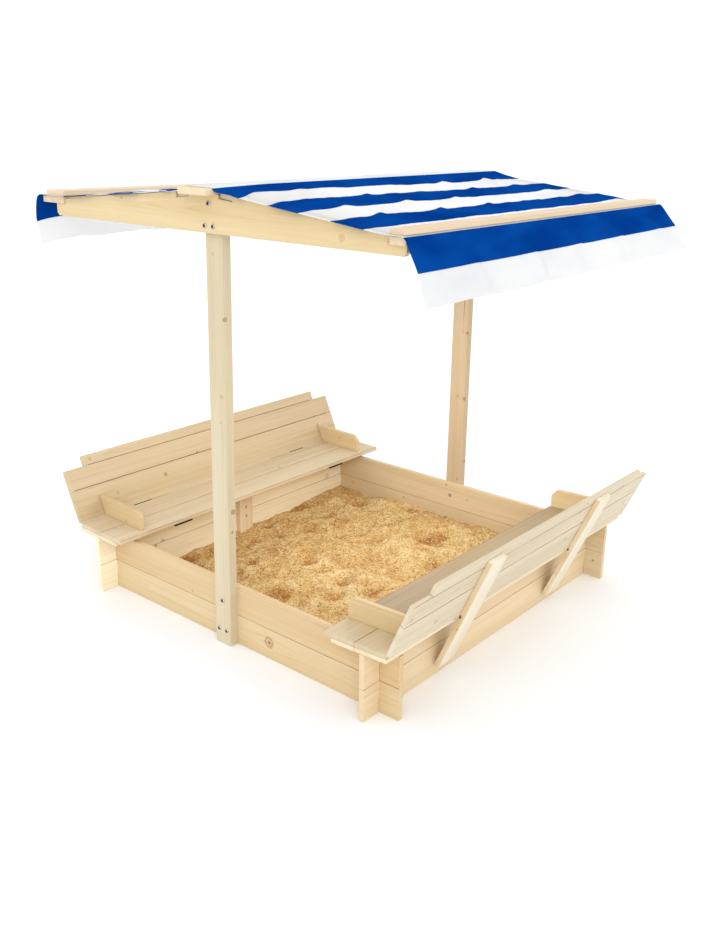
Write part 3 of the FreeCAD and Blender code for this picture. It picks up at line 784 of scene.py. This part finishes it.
def make_grains():
    """Coarse grains lying on the sand, as one mesh of small eight-sided stones."""
    corners = np.array([(1, 0, 0), (-1, 0, 0), (0, 1, 0), (0, -1, 0), (0, 0, 1), (0, 0, -1)],
                       float)
    sides = np.array([(0, 2, 4), (2, 1, 4), (1, 3, 4), (3, 0, 4), (2, 0, 5), (1, 2, 5),
                      (3, 1, 5), (0, 3, 5)])
    rng = np.random.default_rng(5)
    x, y = rng.uniform(-SAND_HALF + 0.003, SAND_HALF - 0.003, (2, GRAINS))
    z, rise = sand_height(x, y)
    size = rng.uniform(0.0008, 0.0020, GRAINS) * (1 - 30 * np.clip(rise, -0.012, 0.012))
    turn = rng.uniform(0, 2 * math.pi, GRAINS)
    shape = corners[None] * rng.uniform(0.6, 1.3, (GRAINS, 6, 1)) * size[:, None, None]
    c, w = np.cos(turn)[:, None], np.sin(turn)[:, None]
    spun = np.stack((shape[..., 0] * c - shape[..., 1] * w, shape[..., 0] * w + shape[..., 1] * c,
                     shape[..., 2]), axis=2)
    points = spun + np.stack((x, y, z + 0.0003), axis=1)[:, None]
    faces = sides[None] + 6 * np.arange(GRAINS)[:, None, None]
    mesh = bpy.data.meshes.new("sand_grains")
    mesh.from_pydata(points.reshape(-1, 3).tolist(), [], faces.reshape(-1, 3).tolist())
    mesh.update()
    piece = bpy.data.objects.new("sand_grains", mesh)
    bpy.context.scene.collection.objects.link(piece)
    shade = mesh.attributes.new("shade", "FLOAT", "POINT")
    shade.data.foreach_set("value", np.repeat(rng.uniform(0, 1, GRAINS), 6))
    made, t, shader = material("sand_grain")
    pick = t.add("Attribute", attribute_name="shade").outputs["Fac"]
    colour = t.ramp(pick, (0.0, srgb(98, 56, 24)), (0.38, srgb(148, 92, 40)),
                    (0.62, srgb(204, 150, 84)), (0.8, srgb(250, 232, 190)), smooth=False)
    t.put(shader.inputs["Base Color"], colour)
    shader.inputs["Roughness"].default_value = 0.9
    shader.inputs["Specular IOR Level"].default_value = 0.1
    paint(piece, made)
    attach(piece, "frame")


make_sand()
make_grains()

made, t, shader = material("ground_sheet")
here = t.add("TexCoord").outputs["Object"]
weave, _ = t.noise(here, (700.0, 700.0, 700.0), 2.0)
t.put(shader.inputs["Base Color"], t.mix(weave, srgb(40, 40, 42), srgb(64, 64, 66)))
shader.inputs["Roughness"].default_value = 0.85
paint(nodes["ground_sheet"], made)

# ---------------------------------------------------------------- canopy

_, RIDGE_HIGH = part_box("ridge_board")
CLOTH_THICK = 0.0012
CLOTH_LIFT = 0.0018          # the sheet's upper face over the wood
CLOTH_NEAR = -0.594
CLOTH_FAR = 0.618
CLOTH_LEFT = 0.820           # from the ridge to each hem, along the cloth
CLOTH_RIGHT = 0.780
STRIPE = 0.094
STRIPE_START = 0.049
PRINT_LEFT = (0.93, 0.939)   # the stripes' spacing on the left, near and far, to the right's
PRINT_BEND = (0.63, 0.0135, 0.035)       # place, shift and half width of a bend in the print
SHEER = 0.55                 # share of light the white stripes let through
BOARD_SHEER = 0.05           # and over the ridge board
LEFT_HEM = 0.62
HEM_SHEER = 0.70             # the left hem is lit from behind
GRID_STEP = 0.008
BELLY = (0.009, 0.13, 0.16)  # rise, place and half width of the slack beside the ridge
SLACK = 0.0010
SLACK_WAVES = 0.0022
PUCKER_LEAN = 0.15
FOLD_START = {1: 0.66, -1: 0.70}         # from the ridge, on each side
FOLD_LIFT = 0.35
HEM_WAVES = 0.006
# puckers across the roof: (y, distance from the ridge, rise, half width, half length)
PUCKERS = (
    (-0.432, 0.385, 0.0085, 0.024, 0.085), (-0.200, 0.385, 0.0080, 0.022, 0.085),
    (0.012, 0.395, 0.0065, 0.020, 0.080), (0.208, 0.180, 0.0075, 0.022, 0.075),
    (0.415, 0.130, 0.0085, 0.022, 0.100), (0.455, 0.290, 0.0045, 0.026, 0.070),
    (-0.480, 0.200, 0.0030, 0.024, 0.070), (-0.395, 0.140, 0.0025, 0.024, 0.050),
    (-0.250, 0.237, 0.0035, 0.016, 0.045), (-0.035, 0.185, 0.0035, 0.026, 0.070),
    (0.500, 0.430, 0.0055, 0.050, 0.060), (0.548, 0.519, 0.0040, 0.035, 0.040),
    (0.190, 0.420, 0.0025, 0.016, 0.040), (0.105, 0.425, 0.0020, 0.030, 0.040),
    (0.380, 0.425, 0.0025, 0.030, 0.040), (-0.025, 0.049, 0.0025, 0.014, 0.040),
    (-0.432, -0.400, 0.0060, 0.024, 0.100), (-0.200, -0.420, 0.0055, 0.022, 0.100),
    (0.012, -0.420, 0.0060, 0.022, 0.100), (0.208, -0.400, 0.0055, 0.022, 0.100),
    (0.415, -0.400, 0.0060, 0.022, 0.100),
)
# upright folds in the hanging hems: (side, y, push outward, half width, lean along Y)
FOLDS = (
    (1, -0.424, 0.013, 0.034, 0.3), (1, -0.188, 0.016, 0.030, 0.3), (1, 0.020, 0.022, 0.020, 0.3),
    (1, 0.110, -0.008, 0.040, 0.4), (1, 0.240, 0.018, 0.022, 0.3), (1, 0.470, 0.019, 0.022, 0.3),
    (-1, -0.470, 0.007, 0.014, 0.1), (-1, -0.420, -0.006, 0.040, 0.2),
    (-1, -0.225, 0.006, 0.020, -0.1), (-1, -0.160, -0.006, 0.040, 0.0),
    (-1, 0.080, 0.008, 0.040, 0.1), (-1, 0.330, -0.007, 0.050, 0.1),
)
ROOF_TOP = 1.2402            # the roof's slopes, carried up to the middle
ROOF_FALL = 0.0972
BOARD_HALF = 0.05            # half the ridge board's width
BOARD_FALL = 0.23            # slope of the cloth from the board's edge down to the roof


def roof_height(x):
    """Top of the cloth when pulled straight, over the ridge board and down to a rail."""
    x = np.abs(x)
    slope = ROOF_TOP - ROOF_FALL * x
    top = RIDGE_HIGH.z + CLOTH_LIFT
    return np.where(x < BOARD_HALF, top, np.maximum(slope, top - (x - BOARD_HALF) * BOARD_FALL))


def edge_drop(x, y):
    """How far the cloth's near edge sinks from the straight pull on to the gable's own slope."""
    x = np.abs(x)
    slack = roof_height(x) - (ROOF_TOP - ROOF_FALL * x + CLOTH_LIFT)
    beside = smooth_step(x, BOARD_HALF, BOARD_HALF + 0.008)
    near = smooth_step(-y, -CLOTH_NEAR - 0.06, -CLOTH_NEAR)
    return np.maximum(slack, 0) * beside * near


def rail_top(name, y):
    """Height of a rail's upper face at one place along it, from its two ends."""
    piece = nodes["eave_rail_" + name]
    spots = np.array([v.co[:] for v in piece.data.vertices])
    along = spots[:, 1]
    start, stop = (spots[np.abs(along - at) < 0.002, 2].max() for at in (along.min(), along.max()))
    share = (y - along.min()) / np.ptp(along)
    return start + (stop - start) * share


SLOPE_START = 0.13           # from the middle to where the cloth lies on the slope
LEFT_HEM_HEIGHT = 1.062


def side_path(side, share):
    """Corners of the cloth's run from the ridge to the hem on one side, as (x, z)."""
    name = "left" if side < 0 else "right"
    rail_low, rail_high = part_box("eave_rail_" + name)
    edge = max(abs(rail_low.x), abs(rail_high.x)) + CLOTH_LIFT
    inner = min(abs(rail_low.x), abs(rail_high.x))
    level = rail_top(name, CLOTH_NEAR + (CLOTH_FAR - CLOTH_NEAR) * share)
    top = level + CLOTH_LIFT
    drop = (float(roof_height(inner)) - top) / (inner - SLOPE_START)
    run = [(x, float(roof_height(x)) - max(0.0, x - SLOPE_START) * drop)
           for x in (0.0, BOARD_HALF, 0.09, SLOPE_START, 0.2, 0.3, 0.4, 0.5)]
    if side > 0:
        run += [(inner, top + 0.001), (edge - 0.003, top + 0.0015), (edge + 0.004, top - 0.002)]
        run += [(edge + 0.040 + 0.018 * share, top - 0.070 + 0.010 * share),
                (edge + 0.057 + 0.040 * share, top - 0.137 + 0.018 * share)]
        run.append((run[-1][0] + 0.004, run[-1][1] - 0.02))
    else:
        hem = LEFT_HEM_HEIGHT + 0.007 * share - 0.013 * math.exp(-share / 0.04)
        swing = 0.006 * math.exp(-share / 0.10)
        run += [(inner, top + 0.001), (edge + 0.002, top + 0.0015)]
        run += [(edge + 0.010 + swing, top - 0.006), (edge + 0.014 + swing, top - 0.03),
                (edge + 0.018 + swing, (top + hem) / 2), (edge + 0.013 + swing, hem + 0.03),
                (edge + 0.012 + swing, hem)]
    return run


def walk(path, count, length=None):
    """Points at even steps along a path, with its corners rounded."""
    path = np.array(path)
    steps = np.hypot(*np.diff(path, axis=0).T)
    reach = np.concatenate(([0], np.cumsum(steps)))
    at = np.linspace(0, length or reach[-1], count)
    run = np.stack([np.interp(at, reach, path[:, k]) for k in (0, 1)], axis=1)
    soft = run.copy()
    soft[1:-1] = (run[:-2] + 2 * run[1:-1] + run[2:]) / 4
    return soft


def canopy_points():
    """The sheet's rows, columns and points, and where each point falls on the print."""
    left = int(CLOTH_LEFT / GRID_STEP) + 1
    right = int(CLOTH_RIGHT / GRID_STEP) + 1
    rows = left + right - 1
    cols = int((CLOTH_FAR - CLOTH_NEAR) / GRID_STEP) + 1
    xz = np.zeros((rows, cols, 2))
    arc = np.concatenate((np.linspace(-CLOTH_LEFT, 0, left),
                          np.linspace(0, CLOTH_RIGHT, right)[1:]))
    along = np.linspace(0, 1, cols)
    for col, share in enumerate(along):
        run = walk(side_path(-1, share), left)
        xz[:left, col] = run[::-1] * (-1, 1)
        xz[left - 1:, col] = walk(side_path(1, share), right, CLOTH_RIGHT)
    s = np.repeat(arc, cols)
    y = np.tile(CLOTH_NEAR + (CLOTH_FAR - CLOTH_NEAR) * along, rows)
    x = xz[:, :, 0].ravel()
    z = xz[:, :, 1].ravel()
    plane = np.stack((s, y, np.zeros_like(y)), axis=1)
    roof = smooth_step(np.abs(x), 0.05, 0.09) * smooth_step(-np.abs(x), -0.572, -0.530)
    rise, place, wide = BELLY
    lift = rise * np.exp(-((np.abs(s) - place) / wide) ** 2) * smooth_step(-y, -0.30, 0.35)
    lift = np.where(s > 0, lift, 0) + SLACK + SLACK_WAVES * fractal(plane + 9.1, 0.08, 3)
    for at, distance, rise, wide, long in PUCKERS:
        bent = at + PUCKER_LEAN * (s - distance)
        sharp = (1 + ((y - bent) / wide) ** 2) ** -1.5
        lift += rise * sharp * np.exp(-((s - distance) / long) ** 2)
    held = smooth_step(y, CLOTH_NEAR, CLOTH_NEAR + 0.05)
    z = z + roof * np.maximum(lift, 0) * held - edge_drop(x, y)
    z = z + 0.003 * smooth_step(-np.abs(x), -0.09, -0.03) * smooth_step(y, -0.56, -0.40)
    edge = fractal(np.stack((s, np.sign(y), np.zeros_like(y)), axis=1), 0.13, 2)
    y = y + 0.004 * edge * smooth_step(np.abs(y), 0.50, 0.60)
    for side, at, push, wide, lean in FOLDS:
        outer = FOLD_START[side]
        below = np.maximum(side * s - outer, 0)
        fold = np.exp(-((y - at - lean * below) / wide) ** 2)
        fold *= push * smooth_step(side * s, outer - 0.03, outer + 0.08)
        x = x + side * fold
        z = z + FOLD_LIFT * fold
    hang = smooth_step(np.abs(s), 0.70, 0.80)
    x = x + np.sign(s) * hang * HEM_WAVES * fractal(plane + 4.7, 0.12, 3)
    near, far = PRINT_LEFT
    stretch = near + (far - near) * smooth_step(y, -0.6, -0.2)
    bend, shift, wide = PRINT_BEND
    printed = np.where(s < 0, stretch * s, s - shift * np.exp(-((s - bend) / wide) ** 2))
    spread = np.stack((printed, y, np.zeros_like(s)), axis=1)
    return rows, cols, np.stack((x, y, z), axis=1), spread


def make_canopy():
    rows, cols, grid, spread = canopy_points()
    piece = make_grid("canopy_cloth", rows, cols, lambda r, c: grid[r * cols + c])
    place = piece.data.attributes.new("cloth", "FLOAT_VECTOR", "POINT")
    place.data.foreach_set("vector", spread.ravel())
    solid = piece.modifiers.new("thickness", "SOLIDIFY")
    solid.thickness = CLOTH_THICK
    solid.offset = -1
    solid.edge_crease_inner = 1.0
    solid.edge_crease_outer = 1.0
    solid.edge_crease_rim = 1.0
    subdivide = piece.modifiers.new("smooth", "SUBSURF")
    subdivide.levels = 1
    subdivide.render_levels = 1
    rim = piece.modifiers.new("rim", "EDGE_SPLIT")
    rim.split_angle = math.radians(50)
    paint(piece, canopy_look())
    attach(piece, "frame")
    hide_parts("canopy")


def canopy_look():
    """Woven cloth with blue stripes, which lets light through where it is white."""
    made, t, shader = material("canopy_stripes")
    where = t.add("Attribute", attribute_name="cloth").outputs["Vector"]
    across = t.add("SeparateXYZ", where).outputs[0]
    band = t.math("DIVIDE", t.math("SUBTRACT", across, STRIPE_START), 2 * STRIPE)
    band = t.math("FRACT", t.math("ADD", band, 20.0))
    blue = t.math("LESS_THAN", band, 0.5)
    tone, _ = t.noise(where, (7.0, 4.0, 1.0), 3.0)
    shade = t.span(tone, 0.34, 0.62)
    blue_colour = t.mix(shade, srgb(2, 54, 131), srgb(6, 67, 148))
    white_colour = t.mix(shade, srgb(216, 222, 226), srgb(227, 231, 232))
    t.put(shader.inputs["Base Color"], t.mix(blue, white_colour, blue_colour))
    threads = t.add("TexWave", where, wave_type="BANDS", bands_direction="X",
                    values={"Scale": 260.0})
    cross = t.add("TexWave", where, wave_type="BANDS", bands_direction="Y",
                  values={"Scale": 260.0})
    weave = t.math("ADD", threads.outputs["Fac"], cross.outputs["Fac"])
    bump = t.add("Bump", values={"Strength": 0.25, "Distance": 0.0003, "Height": weave})
    t.put(shader.inputs["Normal"], bump)
    shader.inputs["Roughness"].default_value = 0.8
    shader.inputs["Specular IOR Level"].default_value = 0.0
    through = t.add("BsdfTranslucent", srgb(253, 252, 252))
    over_board = t.math("LESS_THAN", t.math("ABSOLUTE", across), 1.3 * STRIPE_START)
    sheer = t.math("MULTIPLY_ADD", over_board, BOARD_SHEER - SHEER, SHEER)
    left_hem = t.math("LESS_THAN", across, -LEFT_HEM)
    sheer = t.math("MAXIMUM", sheer, t.math("MULTIPLY", left_hem, HEM_SHEER))
    sheer = t.math("MULTIPLY", sheer, t.math("SUBTRACT", 1.0, blue))
    both = t.add("MixShader", sheer, shader, through)
    t.put(made.node_tree.nodes["Material Output"].inputs["Surface"], both)
    return made


make_canopy()

# ---------------------------------------------------------------- floor, light and camera


def make_floor():
    mesh = bpy.data.meshes.new("floor")
    reach = 30.0
    corners = [(-reach, -reach, 0), (reach, -reach, 0), (reach, reach, 0), (-reach, reach, 0)]
    mesh.from_pydata(corners, [], [(0, 1, 2, 3)])
    floor = bpy.data.objects.new("floor", mesh)
    bpy.context.scene.collection.objects.link(floor)
    made, t, shader = material("floor")
    shader.inputs["Base Color"].default_value = (0.95, 0.97, 1.0, 1)
    shader.inputs["Roughness"].default_value = 0.9
    shader.inputs["Specular IOR Level"].default_value = 0.0
    paint(floor, made)
    floor.location.z = -0.0005


SUN_TOWARD = (3.0, -2.9, 2.5)
SUN_STRENGTH = 0.70
SUN_SPREAD = 35              # degrees
INNER_PLACE = (0.16, 0.05, 0.62)
INNER_RADIUS = 0.25
INNER_POWER = 8.0
STUDIO_STRENGTH = 1.12


def make_sun(name, toward, strength, spread):
    """A broad soft lamp far away, in one direction from the object."""
    data = bpy.data.lights.new(name, "SUN")
    data.energy = strength
    data.angle = math.radians(spread)
    lamp = bpy.data.objects.new(name, data)
    lamp.rotation_euler = Vector(toward).to_track_quat("Z", "Y").to_euler()
    bpy.context.scene.collection.objects.link(lamp)


def make_globe(name, place, radius, power):
    """A soft round lamp, for the light that thin cloth lets through from above."""
    data = bpy.data.lights.new(name, "POINT")
    data.shadow_soft_size = radius
    data.energy = power
    lamp = bpy.data.objects.new(name, data)
    lamp.location = place
    lamp.visible_camera = False
    bpy.context.scene.collection.objects.link(lamp)


CAMERA_PLACE = (1.85273, -2.18879, 1.4039)
CAMERA_YAW = 40.026          # degrees to the left of +Y
CAMERA_PITCH = -19.47
CAMERA_ROLL = 0.737
CAMERA_LENS = 38.01


def make_camera():
    data = bpy.data.cameras.new("camera")
    data.lens = CAMERA_LENS
    data.sensor_width = 36.0
    camera = bpy.data.objects.new("camera", data)
    yaw = Matrix.Rotation(math.radians(CAMERA_YAW), 3, "Z")
    pitch = Matrix.Rotation(math.radians(90 + CAMERA_PITCH), 3, "X")
    roll = Matrix.Rotation(math.radians(CAMERA_ROLL), 3, "Z")
    camera.matrix_world = Matrix.Translation(CAMERA_PLACE) @ (yaw @ pitch @ roll).to_4x4()
    bpy.context.scene.collection.objects.link(camera)
    bpy.context.scene.camera = camera


make_floor()
make_sun("key", SUN_TOWARD, SUN_STRENGTH, SUN_SPREAD)
make_globe("inner_fill", INNER_PLACE, INNER_RADIUS, INNER_POWER)
world = bpy.data.worlds.new("studio")
world.use_nodes = True
background = world.node_tree.nodes["Background"]
background.inputs["Color"].default_value = (1, 1, 1, 1)
background.inputs["Strength"].default_value = STUDIO_STRENGTH
bpy.context.scene.world = world
bpy.context.scene.view_settings.view_transform = "Standard"
make_camera()
